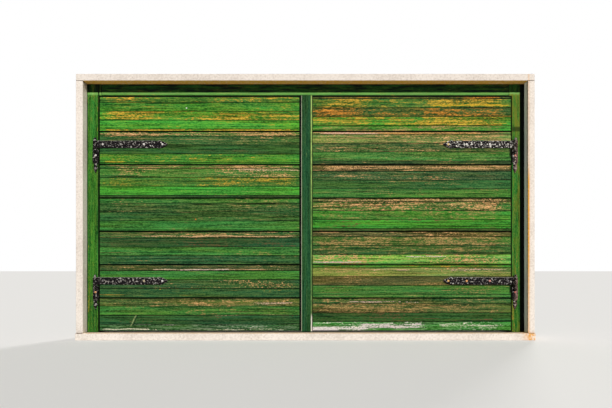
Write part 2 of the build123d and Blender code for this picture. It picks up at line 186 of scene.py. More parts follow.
def newGroup(name, inputs, outputs):
    # a shader group with named sockets: floats, vectors and colours by the kind of their default
    tree = bpy.data.node_groups.new(name, "ShaderNodeTree")
    kinds = {float: "NodeSocketFloat", tuple: "NodeSocketColor", Vector: "NodeSocketVector"}
    for label, default in inputs.items():
        socket = tree.interface.new_socket(name=label, in_out="INPUT", socket_type=kinds[type(default)])
        socket.default_value = default
    for label, kind in outputs.items():
        tree.interface.new_socket(name=label, in_out="OUTPUT", socket_type=kind)
    entry = tree.nodes.new("NodeGroupInput").outputs
    leave = tree.nodes.new("NodeGroupOutput").inputs
    return tree, Wiring(tree), entry, leave


def newMaterial(name):
    material = bpy.data.materials.new(name)
    material.use_nodes = True
    wires = Wiring(material.node_tree)
    shader = material.node_tree.nodes["Principled BSDF"]
    place = wires.add("ShaderNodeTexCoord").outputs["Object"]
    return material, wires, shader, place


def cover(node, material):
    mesh = nodes[node].data
    mesh.materials.clear()
    mesh.materials.append(material)


# grain: noise drawn out by a stretch along each axis, evened to run from 0 to 1
grainLook = {"roughness": 0.6, "low": 0.28, "high": 0.72}
grainGroup, w, entry, leave = newGroup(
    "grain",
    {"Vector": Vector(), "Stretch": Vector((1, 1, 1)), "Shift": 0.0, "Detail": 3.0},
    {"Value": "NodeSocketFloat"},
)
stretched = w.vectorMath("MULTIPLY", entry["Vector"], entry["Stretch"])["Vector"]
moved = w.vectorMath("ADD", stretched, entry["Shift"])["Vector"]
cloudy = w.add("ShaderNodeTexNoise", Vector=moved, Scale=1.0, Detail=entry["Detail"],
               Roughness=grainLook["roughness"]).outputs[0]
w.feed(leave["Value"], w.spread(cloudy, grainLook["low"], grainLook["high"], smooth=False))


def grain(w, place, stretch, detail, shift=0.0):
    return w.place(grainGroup, Vector=place, Stretch=Vector(stretch), Shift=shift, Detail=detail)["Value"]


# seam: a thin line across Z at a first height and at equal steps from it
seamGroup, w, entry, leave = newGroup(
    "seam",
    {"Height": 0.0, "First": 0.0, "Step": 0.04, "Half Width": 0.001, "Softness": 0.001},
    {"Line": "NodeSocketFloat"},
)
below = w.math("SUBTRACT", entry["First"], entry["Height"])
away = w.math("PINGPONG", below, w.math("MULTIPLY", entry["Step"], 0.5))
outer = w.math("ADD", entry["Half Width"], entry["Softness"])
w.feed(leave["Line"], w.fall(away, entry["Half Width"], outer))

# paintWear: streaks and flecks where the paint has gone and the bare wood shows
wearLook = {
    "grains": {   # stretch along each axis, and detail
        "long": ((3.2, 40.0, 150.0), 3.0), "fine": ((14.0, 90.0, 205.0), 3.0),
        "dash": ((60.0, 90.0, 225.0), 2.5), "speck": ((120.0, 90.0, 320.0), 3.0),
        "patch": ((3.0, 6.0, 22.0), 1.5), "split": ((3.0, 40.0, 230.0), 3.5),
        "streak": ((2.4, 60.0, 260.0), 4.0), "hue": ((2.2, 5.0, 32.0), 2.0),
    },
    "sums": {   # weights of the grains, and of the sums before
        "texture": {"fine": 0.20, "dash": 0.17, "speck": 0.17},
        "bare": {"texture": 1.0, "long": 0.27, "patch": 0.19},
        "flecks": {"dash": 0.28, "speck": 0.44, "patch": 0.28},
        "film": {"dash": 0.45, "speck": 0.55},
        "tone": {"long": 0.34, "fine": 0.22, "dash": 0.14, "speck": 0.30},
        "wood": {"speck": 0.5, "fine": 0.5},
    },
    "height": {"tone": 0.5, "mask": -0.5, "crack": -0.8},
    "limits": {   # from, to, and how far the full amount brings both down
        "bare": (0.69, 0.85, 0.60), "flecks": (0.86, 0.92, 0.50), "streak": (0.90, 0.95, 0.50),
    },
    "thin": (0.20, 0.36), "thinShare": 0.72, "film": (0.30, 0.58, 0.30, 0.95),
    "lines": (0.25, 0.5, 0.25, 0.85), "tone": (0.34, 0.66), "lightGain": 1.3,
    "wood": (0.30, 0.70, 0.50, 1.40), "rim": 1.2, "crack": (0.74, 0.82),
    "hue": (0.25, 0.75), "cooler": (0.76, 1.02, 1.12, 1.0), "warmer": (1.14, 1.04, 0.82, 1.0),
}
wearGroup, w, entry, leave = newGroup(
    "paintWear",
    {"Vector": Vector(), "Paint": (0.1, 0.2, 0.03, 1.0), "Bare": (0.5, 0.3, 0.1, 1.0), "Wear": 0.3,
     "Flecks": 0.1, "Contrast": 0.3, "Cracks": 0.5, "Shift": 0.0},
    {"Color": "NodeSocketColor", "Mask": "NodeSocketFloat", "Height": "NodeSocketFloat"},
)
fields = {}
for name, (stretch, detail) in wearLook["grains"].items():
    fields[name] = grain(w, entry["Vector"], stretch, detail, entry["Shift"])
for name, weights in wearLook["sums"].items():
    fields[name] = w.weighed(fields, weights)


def past(name, amount):
    # where a field passes its limits, which come down as the amount grows
    low, high, drop = wearLook["limits"][name]
    limits = [w.math("MULTIPLY_ADD", amount, -drop, limit) for limit in (low, high)]
    return w.spread(fields[name], *limits)


bare = w.times(past("bare", entry["Wear"]), w.spread(fields["film"], *wearLook["film"]))
fleck = past("flecks", entry["Flecks"])
thin = w.times(w.spread(fields["texture"], *wearLook["thin"]), entry["Wear"], wearLook["thinShare"])
lines = w.times(past("streak", entry["Wear"]), w.spread(fields["fine"], *wearLook["lines"]))
mask = w.most(bare, fleck, thin, lines)
darkest = w.math("SUBTRACT", 1.0, entry["Contrast"])
lightest = w.math("MULTIPLY_ADD", entry["Contrast"], wearLook["lightGain"], 1.0)
shade = w.spread(fields["tone"], *wearLook["tone"], darkest, lightest, smooth=False)
wood = w.tint(entry["Bare"], w.spread(fields["wood"], *wearLook["wood"], smooth=False))
faded = w.blend(w.spread(fields["hue"], *wearLook["hue"]), wearLook["cooler"], wearLook["warmer"])
paint = w.blend(1.0, w.tint(entry["Paint"], shade), faded, "MULTIPLY")
# the paint stands darker round a bare place, and in the cracks
rim = w.times(mask, w.math("SUBTRACT", 1.0, mask), wearLook["rim"])
crack = w.times(w.spread(fields["split"], *wearLook["crack"]), entry["Cracks"])
lit = w.math("SUBTRACT", 1.0, w.most(rim, crack))
w.feed(leave["Color"], w.tint(w.blend(mask, paint, wood), lit))
w.feed(leave["Mask"], mask)
w.feed(leave["Height"], w.weighed({"tone": fields["tone"], "mask": mask, "crack": crack}, wearLook["height"]))

print("shader groups made")


# Boards: each lath from the top down is (paint, bare wood, wear, flecks), and the first seam is in mm
paints = {
    "vivid": "3f8c2d", "fresh": "387c2a", "mid": "38702e", "deep": "305a2a", "teal": "2a542e",
    "olive": "465c2a", "dark": "2e4824", "brownish": "4c4e28", "light": "6e843e", "pale": "69a544",
}
woods = {
    "ochre": "c29a36", "orange": "c88232", "pink": "ca9a66", "tan": "a08250", "brown": "644830",
    "white": "e1d7c8",
}
boardLooks = {
    "left": [
        (27, [("mid", "ochre", .24, .2), ("fresh", "ochre", .16, .1), ("vivid", "ochre", .46, .35),
              ("vivid", "ochre", .16, .1), ("vivid", "ochre", .5, .2)]),
        (22, [("mid", "pink", .34, .4), ("deep", "pink", .18, .2), ("deep", "brown", .16, .1),
              ("fresh", "ochre", .22, .1), ("fresh", "tan", .2, .1)]),
        (18, [("mid", "pink", .42, .3), ("mid", "pink", .26, .4), ("mid", "ochre", .32, .1),
              ("vivid", "tan", .12, .1), ("dark", "tan", .1, .0)]),
        (24, [("mid", "pink", .18, .25), ("deep", "pink", .2, .2), ("deep", "tan", .14, .1),
              ("mid", "tan", .1, .0), ("mid", "tan", .08, .1)]),
        (31, [("deep", "pink", .29, .3), ("teal", "brown", .3, .1), ("mid", "tan", .14, .2),
              ("teal", "tan", .1, .0), ("teal", "tan", .1, .0)]),
        (28, [("dark", "pink", .22, .3), ("mid", "tan", .08, .1), ("teal", "pink", .12, .3),
              ("teal", "ochre", .10, .0), ("teal", "tan", .1, .0)]),
        (38, [("olive", "pink", .26, .3), ("mid", "tan", .22, .1), ("teal", "brown", .2, .1),
              ("deep", "white", .16, .25)]),
    ],
    "right": [
        (11, [("olive", "orange", .3, .1), ("mid", "ochre", .42, .2), ("deep", "orange", .36, .2),
              ("vivid", "ochre", .42, .3), ("vivid", "tan", .4, .1)]),
        (14, [("light", "pink", .56, .3), ("light", "pink", .38, .3), ("deep", "pink", .3, .1),
              ("mid", "pink", .16, .1), ("dark", "tan", .1, .0)]),
        (30, [("brownish", "pink", .27, .2), ("teal", "pink", .18, .1), ("deep", "tan", .12, .1),
              ("mid", "tan", .18, .0), ("mid", "tan", .18, .0)]),
        (18, [("olive", "pink", .38, .4), ("mid", "pink", .38, .5), ("fresh", "tan", .3, .2),
              ("vivid", "brown", .26, .1), ("olive", "brown", .24, .0)]),
        (24, [("brownish", "pink", .22, .2), ("mid", "tan", .46, .4), ("deep", "tan", .24, .1),
              ("pale", "pink", .26, .5), ("pale", "tan", .2, .3)]),
        (14, [("fresh", "orange", .24, .1), ("light", "pink", .32, .4), ("brownish", "tan", .3, .2),
              ("mid", "tan", .22, .1), ("mid", "pink", .2, .1)]),
        (27, [("deep", "pink", .24, .2), ("olive", "tan", .42, .4), ("deep", "brown", .3, .2),
              ("fresh", "white", .20, .35)]),
    ],
}
# spots on single boards: x, z and reach in metres, and colour
boardSpots = {
    "left_board_1": (-0.533, 1.0347, 0.0016, "ece8dc"),
    "left_board_4": (-0.492, 0.535, 0.0018, "c0702a"),
}
# a gouge by its foot, height, lean and half width, with a painted shadow as its shaded side beside the lit
# one
gouge = {"board": "left_board_7", "x": -0.782, "z": 0.0567, "height": 0.049, "lean": 0.46, "half": 0.0022,
         "endInset": 0.004, "endSoft": 0.006, "shadedAway": 3.2, "shadedShare": 0.7, "shaded": "16301a",
         "torn": ((200.0, 90.0, 200.0), 3.0), "litShare": (0.35, 0.6, 0.25, 0.85), "lit": "9aa870"}
# streaks of bare wood from x to x at a height z, with half height, colour and how closely they cover
boardStreaks = {
    "left_board_2": [
        (-0.867, -0.455, 0.9167, 0.0020, "d0a474", 0.54), (-0.899, -0.800, 0.7956, 0.0030, "b8a030", 0.75),
        (-0.455, -0.060, 0.9167, 0.0018, "c89a60", 0.50)],
    "left_board_3": [
        (-0.347, -0.028, 0.7588, 0.0060, "ccaa86", 0.50), (-0.850, -0.360, 0.7650, 0.0024, "ac8456", 0.56)],
    "left_board_5": [(-0.742, -0.033, 0.4591, 0.0024, "cca278", 0.60)],
    "left_board_6": [
        (-0.697, -0.091, 0.3105, 0.0026, "c8ac8c", 0.52), (-0.570, -0.330, 0.3100, 0.0020, "d6bcaa", 0.60)],
    "left_board_7": [
        (-0.903, -0.700, 0.0418, 0.0022, "e4dcc0", 0.70), (-0.700, -0.028, 0.0412, 0.0018, "d0c8a4", 0.45),
        (-0.248, -0.042, 0.1590, 0.0050, "c8a890", 0.50), (-0.420, -0.060, 0.1060, 0.0020, "b8a878", 0.60)],
    "right_board_1": [
        (0.562, 0.914, 1.0468, 0.0032, "cfa62a", 0.78), (0.090, 0.300, 1.0120, 0.0040, "c08030", 0.50)],
    "right_board_2": [
        (0.070, 0.330, 0.9216, 0.0030, "dcae94", 0.66), (0.340, 0.800, 0.9216, 0.0028, "cf9a58", 0.62)],
    "right_board_3": [(0.070, 0.920, 0.7678, 0.0080, "c89c68", 0.53)],
    "right_board_4": [(0.050, 0.920, 0.6200, 0.0034, "bc9868", 0.50)],
    "right_board_5": [
        (0.034, 0.250, 0.3440, 0.0026, "dcc0b0", 0.62), (0.440, 0.640, 0.3690, 0.0022, "dcc8b4", 0.60)],
    "right_board_6": [
        (0.290, 0.480, 0.3090, 0.0034, "d0a890", 0.52), (0.640, 0.915, 0.3090, 0.0034, "c8a08c", 0.50)],
    "right_board_7": [
        (0.020, 0.150, 0.0440, 0.0080, "e8dfda", 0.88), (0.110, 0.280, 0.0480, 0.0080, "e4dad4", 0.60),
        (0.240, 0.530, 0.0589, 0.0110, "ddd0ca", 0.60), (0.600, 0.900, 0.0600, 0.0060, "d4ccb8", 0.48),
        (0.180, 0.520, 0.1640, 0.0024, "cfae9e", 0.52)],
}
streakLook = {
    "drawn": ((9.0, 90.0, 190.0), 4.0), "broken": ((150.0, 90.0, 310.0), 3.0),
    "waver": ((7.0, 7.0, 7.0), 2.0), "torn": {"drawn": 0.55, "broken": 0.45},
    "shade": (0.2, 0.8, 0.62, 1.22), "bend": 0.0025,
    "endInset": 0.03, "endSoft": 0.07, "core": 0.6, "limits": (0.97, 1.11), "cover": 0.92,
}
# seams that have opened, counted from the top
openSeams = {
    "left_board_5": (0, 2), "left_board_6": (0, 2), "left_board_7": (1,),
    "right_board_3": (0,), "right_board_5": (2,),
}
# stretches of a board, from x to x in metres, where most of its wear lies
wornStretches = {
    "left_board_1": [(-0.876, -0.697), (-0.383, -0.024)],
    "left_board_3": [(-0.400, -0.040)],
    "left_board_4": [(-0.330, -0.020)],
    "left_board_7": [(-0.480, -0.020)],
    "right_board_1": [(0.040, 0.245), (0.540, 0.914)],
    "right_board_7": [(0.020, 0.519)],
}
boardLook = {
    "lath": 0.040, "tongue": 0.0075, "face": 0.002, "contrast": 0.66, "cracks": 0.8,
    "shiftEach": 7.3, "shiftRight": 40, "roughness": (0.55, 0.85), "specular": 0.05, "relief": (0.0006, 0.8),
    "endWear": (0.0, 0.09, 0.45, 1.0), "backWear": 0.35,
    "stretchInset": 0.03, "stretchSoft": 0.10, "stretchWear": (0.74, 1.08),
    # the dark colour is for dirt and for painted shade in joints, along edges and ends, and beside the cover
    # strip and hinges
    "dirtAndShade": "0b0e08", "rim": 0.0013, "lastRim": 0.0018, "rimSoft": 0.0014, "topRim": (0.0042, 0.0026),
    "endShade": (0.0012, 0.0030, 0.92, 0.0), "seam": (0.0010, 0.0013), "seamDirt": 0.78,
    "openSeam": (0.0012, 0.0014), "openDirt": 0.95,
    "beforeStrip": (0.0100, 0.0088), "behindStrip": (0.0034, 0.0052), "underStripShade": 0.80,
}
# where the right hinges' painted shadows fall on the boards
hingeShadowLook = {"reachBelow": 0.04, "fromEdge": (0.0130, 0.0035), "centreBelow": 0.010, "half": 0.020,
              "soft": 0.020, "edgeShare": (0.0, 0.012, 1.0, 0.85)}
# depths behind the front of a painted piece, and before its back, in metres
jointDepths = {"from": 0.0008, "to": 0.0030, "backFrom": 0.004, "backTo": 0.001, "front": 0.010}
stripLow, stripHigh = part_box("cover_strip")


class Painted:
    # a painted piece with its material, axes and box, and a mask that is 1 on its front

    def __init__(self, nodeName, materialName, face):
        self.nodeName = nodeName
        self.material, self.w, self.shader, self.place = newMaterial(materialName)
        self.x, self.y, self.z = self.w.axes(self.place)
        self.low, self.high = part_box(nodeName)
        self.front = self.w.fall(self.y, self.low.y + face, self.low.y + jointDepths["front"])

    def inJoint(self):
        # below the face and before the back, where the joints, seams and cracks are painted dark as shade and
        # dirt
        w, front, back = self.w, self.low.y, self.high.y
        return w.times(w.spread(self.y, front + jointDepths["from"], front + jointDepths["to"]),
                       w.fall(self.y, back - jointDepths["backFrom"], back - jointDepths["backTo"]))


def finishPaint(w, shader, wear, look):
    w.give(shader, Roughness=w.spread(wear["Mask"], 0.0, 1.0, *look["roughness"], smooth=False),
           Specular_IOR_Level=look["specular"], Normal=w.bump(wear["Height"], *look["relief"]))


class Board(Painted):
    # one board of a leaf, where number 1 is the highest

    def __init__(self, side, number):
        name = f"{side}_board_{number}"
        super().__init__(name, name + "Paint", boardLook["face"])
        self.side, self.number = side, number
        self.top = self.high.z - (0.0 if number == 1 else boardLook["tongue"])   # under its tongue
        firstSeam, self.laths = boardLooks[side][number - 1]
        self.seams = [self.top - firstSeam / 1000 - boardLook["lath"] * i for i in range(len(self.laths) - 1)]
        w = self.w
        self.fromEnd = w.math("MINIMUM", w.math("SUBTRACT", self.x, self.low.x),
                              w.math("SUBTRACT", self.high.x, self.x))

    def lathRamps(self):
        # up the laths, the paint's colour with its wear as alpha, and the wood's colour with its flecks
        share = self.w.spread(self.z, self.low.z, self.top, smooth=False)
        bottoms = [(seam - self.low.z) / (self.top - self.low.z) for seam in self.seams] + [0.0]
        paintStops, woodStops = [], []
        for bottom, (paint, wood, wear, flecks) in reversed(list(zip(bottoms, self.laths))):
            paintStops.append((max(bottom, 0.0), (*hexColour(paints[paint])[:3], wear)))
            woodStops.append((max(bottom, 0.0), (*hexColour(woods[wood])[:3], flecks)))
        return self.w.ramp(share, paintStops), self.w.ramp(share, woodStops)

    def wearShare(self):
        # the ends, the side towards the room and the parts off the worn stretches have kept more paint
        w, face = self.w, self.low.y + boardLook["face"]
        share = w.times(w.spread(self.fromEnd, *boardLook["endWear"]),
                        w.spread(self.y, face, self.high.y, 1.0, boardLook["backWear"]))
        if self.nodeName in wornStretches:
            margins = boardLook["stretchInset"], boardLook["stretchSoft"]
            stretches = wornStretches[self.nodeName]
            inside = w.most(*[w.between(self.x, *stretch, *margins) for stretch in stretches])
            share = w.times(share, w.spread(inside, 0.0, 1.0, *boardLook["stretchWear"], smooth=False))
        return share

    def worn(self):
        w, share = self.w, self.wearShare()
        paintRamp, woodRamp = self.lathRamps()
        sideShift = boardLook["shiftRight"] if self.side == "right" else 0
        return w.place(wearGroup, Vector=self.place, Paint=paintRamp["Color"], Bare=woodRamp["Color"],
                       Wear=w.times(paintRamp["Alpha"], share), Flecks=w.times(woodRamp["Alpha"], share),
                       Contrast=boardLook["contrast"], Cracks=boardLook["cracks"],
                       Shift=self.number * boardLook["shiftEach"] + sideShift)

    def hingeShadows(self):
        # painted shadows of the right hinges' eyes, on the boards that carry them
        w, look, masks = self.w, hingeShadowLook, []
        inner, outer = look["fromEdge"]
        for hinge in ("strap_right_upper", "strap_right_lower"):
            hingeLow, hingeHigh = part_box(hinge)
            if self.low.z < hingeHigh.z and self.high.z > hingeLow.z - look["reachBelow"]:
                beside = w.spread(self.x, self.high.x - inner, self.high.x - outer)
                level = w.near(self.z, hingeLow.z - look["centreBelow"], look["half"], look["soft"])
                masks.append(w.times(beside, level, self.front, w.spread(self.fromEnd, *look["edgeShare"])))
        return masks

    def dirtAndShade(self):
        # dark, as dirt and painted shade, in the joints, seams and cracks, along the boards' edges and ends,
        # and along the cover strip
        w, look = self.w, boardLook
        rim = self.low.z + (look["lastRim"] if self.number == len(boardLooks[self.side]) else look["rim"])
        topFrom, topTo = look["topRim"]
        halfWidth, softness = look["seam"]
        line = w.place(seamGroup, Height=self.z, First=self.seams[0], Step=look["lath"], Half_Width=halfWidth,
                       Softness=softness)["Line"]
        # painted shade in the joints, along each board's upper and lower edge and at its ends, with the lath
        # seams and opened seams as dark lines
        masks = [self.inJoint(), w.fall(self.z, rim, rim + look["rimSoft"]),
                 w.spread(self.z, self.top - topFrom, self.top - topTo), w.times(line, look["seamDirt"]),
                 w.spread(self.fromEnd, *look["endShade"])]
        for seam in openSeams.get(self.nodeName, ()):
            masks.append(w.times(w.near(self.z, self.seams[seam], *look["openSeam"]), look["openDirt"]))
        # the cover strip's painted shadow on the left boards, and painted shade under it on the right ones
        if self.side == "left":
            start, end = look["beforeStrip"]
            masks.append(w.times(w.spread(self.x, stripLow.x - start, stripLow.x - end), self.front))
        else:
            start, end = look["behindStrip"]
            behind = w.fall(self.x, stripHigh.x + start, stripHigh.x + end)
            masks.append(w.times(behind, look["underStripShade"], self.front))
            masks += self.hingeShadows()
        return w.most(*masks)

    def addStreaks(self, colour):
        w, look = self.w, streakLook
        grains = {part: grain(w, self.place, *look[part]) for part in ("drawn", "broken", "waver")}
        torn = w.weighed(grains, look["torn"])
        shade = w.spread(grains["broken"], *look["shade"], smooth=False)
        lowest = w.math("SUBTRACT", self.z, look["bend"])
        bent = w.math("MULTIPLY_ADD", grains["waver"], 2 * look["bend"], lowest)
        for start, end, level, half, tint, closeness in boardStreaks[self.nodeName]:
            inside = w.times(w.between(self.x, start, end, look["endInset"], look["endSoft"]),
                             w.near(bent, level, half * look["core"], half), closeness)
            here = w.times(w.spread(w.math("ADD", torn, inside), *look["limits"]), self.front, look["cover"])
            colour = w.blend(here, colour, w.tint(tint, shade))
        return colour

    def addSpot(self, colour):
        w, (x, z, reach, tint) = self.w, boardSpots[self.nodeName]
        here = w.times(w.near(self.x, x, reach, reach), w.near(self.z, z, reach, reach), self.front)
        return w.blend(here, colour, tint)

    # the gouge is painted on, with a painted shadow beside it
    def addGouge(self, colour):
        w, half, foot = self.w, gouge["half"], gouge["z"]
        torn = grain(w, self.place, *gouge["torn"])
        lean = w.math("MULTIPLY_ADD", w.math("SUBTRACT", self.z, foot), gouge["lean"], gouge["x"])
        across = w.math("SUBTRACT", self.x, lean)
        upright = w.between(self.z, foot, foot + gouge["height"], gouge["endInset"], gouge["endSoft"])
        within = w.times(upright, self.front)
        shaded = w.times(w.near(across, gouge["shadedAway"] * half, half, half), within, gouge["shadedShare"])
        lit = w.times(w.near(across, 0.0, half, half), within, w.spread(torn, *gouge["litShare"]))
        return w.blend(lit, w.blend(shaded, colour, gouge["shaded"]), gouge["lit"])

    def paint(self):
        wear = self.worn()
        colour = wear["Color"]
        if self.nodeName in boardStreaks:
            colour = self.addStreaks(colour)
        if self.nodeName in boardSpots:
            colour = self.addSpot(colour)
        if self.nodeName == gouge["board"]:
            colour = self.addGouge(colour)
        self.w.give(self.shader, Base_Color=self.w.blend(self.dirtAndShade(), colour, boardLook["dirtAndShade"]))
        finishPaint(self.w, self.shader, wear, boardLook)
        cover(self.nodeName, self.material)


for side in sideNames:
    for number in range(1, len(boardLooks[side]) + 1):
        Board(side, number).paint()
print("boards painted")


# Frame, battens and cover strip
timberLook = {
    "frame": {"paint": "2e6e26", "bare": "86762e", "wear": 0.22, "flecks": 0.14, "contrast": 0.64},
    "batten": {"paint": "2f6a2a", "bare": "94804a", "wear": 0.12, "flecks": 0.05, "contrast": 0.35},
    "strip": {"paint": "204a29", "bare": "5d7a44", "wear": 0.12, "flecks": 0.08, "contrast": 0.52},
    "cracks": 0.5, "roughness": (0.5, 0.8), "specular": 0.05, "relief": (0.0005, 0.7),
}


def timberWear(w, shader, place, kind, upright, shift):
    # the group's grain runs along X, so an upright piece is turned a quarter about Y
    if upright:
        turn = w.add("ShaderNodeVectorRotate", {"rotation_type": "Y_AXIS"}, Vector=place, Angle=math.pi / 2)
        place = turn.outputs[0]
    look = timberLook[kind]
    wear = w.place(wearGroup, Vector=place, Paint=look["paint"], Bare=look["bare"], Wear=look["wear"],
                   Flecks=look["flecks"], Contrast=look["contrast"], Cracks=timberLook["cracks"], Shift=shift)
    finishPaint(w, shader, wear, timberLook)
    return wear["Color"]


# the frame's top is painted black under the lintel, as painted shadow with soot, and has a pale band below it
# painted as light on bleached paint, both by height in metres
frameLook = {
    # the dark colour is for dirt and for painted shade in joints, gaps, and beside the hinges and the jamb
    "dirtAndShade": "0b0e08", "yellowed": "727422", "bleachedAndLit": "8fc86a", "shadeAndSoot": "0f1b15",
    "uprightBlots": ((95.0, 60.0, 11.0), 3.0), "levelBlots": ((11.0, 60.0, 80.0), 3.0),
    "shadeAndSootEdge": (1.1035, 1.1065), "shadeAndSootShare": (0.2, 0.8, 1.0, 0.55),
    "bleachedAndLitFrom": (1.0890, 1.0990), "bleachedAndLitShare": (0.1, 0.8, 0.65, 1.0),
}
headLook = {"bleachedAndLit": 0.50, "butt": (0.0010, 0.0010), "lowerArris": (1.0915, 1.0930), "dirtAndShade": 0.85}
leftPostLook = {
    "bleachedAndLit": 0.80, "edge": (0.0105, 0.005), "edgeUp": (0.45, 0.75, 1.0, 0.15), "edgeBlots": (0.2, 0.7),
    "outerArris": (0.0032, 0.0016), "outerDark": 0.70, "leafGap": 0.0035, "innerArris": (0.0024, 0.0014),
    "dirtAndShade": 0.94,
}
rightPostLook = {
    "bleachedAndLit": 0.80, "corner": (0.0190, 0.0172), "hingeShadeIn": 0.0155, "shadeAndGrime": (0.0035, 0.0030),
    "hingeShadeBelow": (0.058, 0.046), "hingeShadeAbove": 0.010, "hingeShadeStrength": 0.9,
    "yellowBlots": (0.45, 0.9), "yellowShare": 0.55, "upperYellow": (0.86, 0.98), "upperBlots": (0.2, 0.7),
    "upperShare": 0.75, "yellowEnd": (1.095, 1.104),
    "knotUp": (0.940, 0.0060, 0.0090), "knotIn": 0.034, "knot": (0.016, 0.006), "knotDirt": 0.7,
}


def headMarks(piece, blots, colour):
    # dark butts against the posts, and the lower arris painted dark as the shade in the gap above the leaves
    w, look = piece.w, headLook
    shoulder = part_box("frame_post_right")[0].x
    butt = w.near(w.math("ABSOLUTE", piece.x), shoulder, *look["butt"])
    dirtAndShade = w.times(w.most(butt, w.fall(piece.z, *look["lowerArris"])), piece.front, look["dirtAndShade"])
    return w.blend(dirtAndShade, colour, frameLook["dirtAndShade"])


def leftPostMarks(piece, blots, colour):
    # a yellowed edge low down by the leaf, painted shade in the gap by the leaf, and a darker arris against
    # the stone
    w, look = piece.w, leftPostLook
    edgeFrom, edgeTo = look["edge"]
    edge = w.times(w.spread(piece.x, piece.high.x - edgeFrom, piece.high.x - edgeTo),
                   w.spread(piece.z, *look["edgeUp"]), w.spread(blots, *look["edgeBlots"]))
    colour = w.blend(edge, colour, frameLook["yellowed"])
    inner = w.near(piece.x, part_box("left_board_1")[0].x - look["leafGap"], *look["innerArris"])
    outer = w.times(w.near(piece.x, piece.low.x, *look["outerArris"]), look["outerDark"])
    return w.blend(w.times(w.most(inner, outer), piece.front, look["dirtAndShade"]), colour, frameLook["dirtAndShade"])


def rightPostMarks(piece, blots, colour):
    # painted shadows beside the hinges, yellowed paint, the jamb's painted shadow along the outer edge, and a
    # knot
    w, look = piece.w, rightPostLook
    belowFrom, belowTo = look["hingeShadeBelow"]
    # the hinges' painted shadows on the post
    for strap in ("strap_right_upper", "strap_right_lower"):
        strapLow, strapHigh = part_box(strap)
        shadeAndGrime = w.times(w.near(piece.x, piece.low.x + look["hingeShadeIn"], *look["shadeAndGrime"]),
                        w.spread(piece.z, strapLow.z - belowFrom, strapLow.z - belowTo),
                        w.fall(piece.z, strapHigh.z, strapHigh.z + look["hingeShadeAbove"]),
                        piece.front, look["hingeShadeStrength"])
        colour = w.blend(shadeAndGrime, colour, frameLook["dirtAndShade"])
    upper = w.times(w.spread(piece.z, *look["upperYellow"]), w.spread(blots, *look["upperBlots"]),
                    look["upperShare"])
    yellow = w.most(w.times(w.spread(blots, *look["yellowBlots"]), look["yellowShare"]), upper)
    colour = w.blend(w.times(yellow, w.fall(piece.z, *look["yellowEnd"])), colour, frameLook["yellowed"])
    # the right jamb's painted shadow along the post's outer edge
    cornerFrom, cornerTo = look["corner"]
    corner = w.spread(piece.x, piece.high.x - cornerFrom, piece.high.x - cornerTo)
    knot = w.times(w.near(piece.z, *look["knotUp"]),
                   w.near(piece.x, piece.high.x - look["knotIn"], *look["knot"]), look["knotDirt"])
    return w.blend(w.times(w.most(corner, knot), piece.front), colour, frameLook["dirtAndShade"])


def paintFrame(name, nodeName, upright, shift, look, marks):
    piece = Painted(nodeName, name, 0.0)
    w, z, front = piece.w, piece.z, piece.front
    colour = timberWear(w, piece.shader, piece.place, "frame", upright, shift)
    blots = grain(w, piece.place, *frameLook["uprightBlots" if upright else "levelBlots"], shift)
    # a pale band just under the painted shadow, painted as light on bleached paint
    bleachedAndLit = w.times(w.fall(z, *frameLook["shadeAndSootEdge"]), w.spread(z, *frameLook["bleachedAndLitFrom"]), front,
                       w.spread(blots, *frameLook["bleachedAndLitShare"]), look["bleachedAndLit"])
    # the lintel's painted shadow, with soot, over the frame's top
    shadeAndSoot = w.blend(w.spread(blots, *frameLook["shadeAndSootShare"]), colour, frameLook["shadeAndSoot"])
    colour = w.blend(bleachedAndLit, colour, frameLook["bleachedAndLit"])
    colour = w.blend(w.times(w.spread(z, *frameLook["shadeAndSootEdge"]), front), colour, shadeAndSoot)
    colour = marks(piece, blots, colour)
    w.give(piece.shader, Base_Color=w.blend(piece.inJoint(), colour, frameLook["dirtAndShade"]))
    cover(nodeName, piece.material)


paintFrame("headPaint", "frame_head", False, 5.0, headLook, headMarks)
paintFrame("leftPostPaint", "frame_post_left", True, 3.0, leftPostLook, leftPostMarks)
paintFrame("rightPostPaint", "frame_post_right", True, 23.0, rightPostLook, rightPostMarks)

battenPaint, w, shader, place = newMaterial("battenPaint")
w.give(shader, Base_Color=timberWear(w, shader, place, "batten", True, 9.0))
for side in sideNames:
    for spot in ("hinge", "middle", "meeting"):
        cover(f"{side}_batten_{spot}", battenPaint)

# the cover strip's left arris is worn pale, its right one is worn and painted lighter as the lit side, and
# worn to bare wood at the foot
stripLook = {
    "chips": ((120.0, 120.0, 45.0), 3.0), "leftPaint": "cacdb0", "rightPaint": "a0bc66", "bareFoot": "ded6ca",
    "left": (0.0018, 0.0034), "leftChips": (0.1, 0.5, 0.55, 1.0), "right": (0.0070, 0.0045),
    "rightChips": (0.25, 0.6, 0.55, 1.0), "rightUp": (0.52, 0.80, 0.40, 1.0),
    "foot": (0.0062, 0.0040), "footUp": (0.055, 0.085),
}
stripPaint, w, shader, place = newMaterial("stripPaint")
x, y, z = w.axes(place)
colour = timberWear(w, shader, place, "strip", True, 12.0)
chips = grain(w, place, *stripLook["chips"])
leftArris, rightArris, foot, footUp = (stripLook[part] for part in ("left", "right", "foot", "footUp"))
leftMask = w.times(w.fall(x, stripLow.x + leftArris[0], stripLow.x + leftArris[1]),
                   w.spread(chips, *stripLook["leftChips"]))
rightMask = w.times(w.spread(x, stripHigh.x - rightArris[0], stripHigh.x - rightArris[1]),
                    w.spread(chips, *stripLook["rightChips"]), w.spread(z, *stripLook["rightUp"]))
footMask = w.times(w.spread(x, stripHigh.x - foot[0], stripHigh.x - foot[1]),
                   w.fall(z, stripLow.z + footUp[0], stripLow.z + footUp[1]))
for mask, tint in ((leftMask, "leftPaint"), (rightMask, "rightPaint"), (footMask, "bareFoot")):
    colour = w.blend(mask, colour, stripLook[tint])
w.give(shader, Base_Color=colour)
cover("cover_strip", stripPaint)
print("timber painted")


